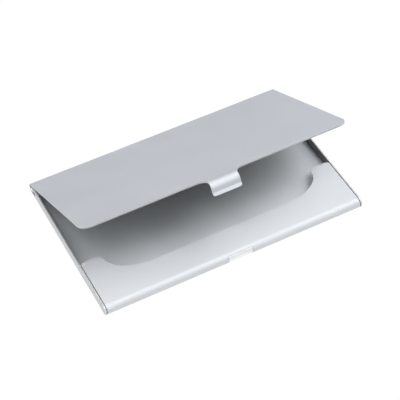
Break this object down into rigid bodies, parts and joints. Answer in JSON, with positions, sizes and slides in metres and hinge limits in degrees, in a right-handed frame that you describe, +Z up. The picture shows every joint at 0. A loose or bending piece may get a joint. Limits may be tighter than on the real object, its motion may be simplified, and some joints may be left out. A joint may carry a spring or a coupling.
{
  "type": "card case",
  "caption": "Slim folded-aluminium card case: base shell with pocket flap, end walls and a hinged lid with a catch tab, standing ajar.",
  "frame": {"origin": "centre of the base's flat underside", "axes": "+X along the hinge, +Y from the front bend to the hinge, +Z up out of the base"},
  "size_m": [0.0936, 0.0613, 0.032],
  "materials": {
    "base_shell": "satin anodised",
    "front_liner": "bright rolled",
    "side_wall": "satin anodised",
    "lid": "matte anodised",
    "hinge_pin": "plain steel",
    "hinge_bush": "moulded"
  },
  "bodies": {
    "base": {"base_shell": "base_shell", "front_liner": "front_liner", "side_wall_left": "side_wall", "side_wall_right": "side_wall", "hinge_pin_left": "hinge_pin", "hinge_pin_right": "hinge_pin"},
    "lid": {"lid_sheet": "lid", "hinge_bush_left": "hinge_bush", "hinge_bush_right": "hinge_bush"}
  },
  "joints": [
    {"name": "lid_hinge", "type": "hinge", "parent": "base", "child": "lid", "pos_m": [0, 0.0289, 0.0028], "axis": [-1, 0, 0], "range_deg": [-28.2, 66.8]}
  ]
}
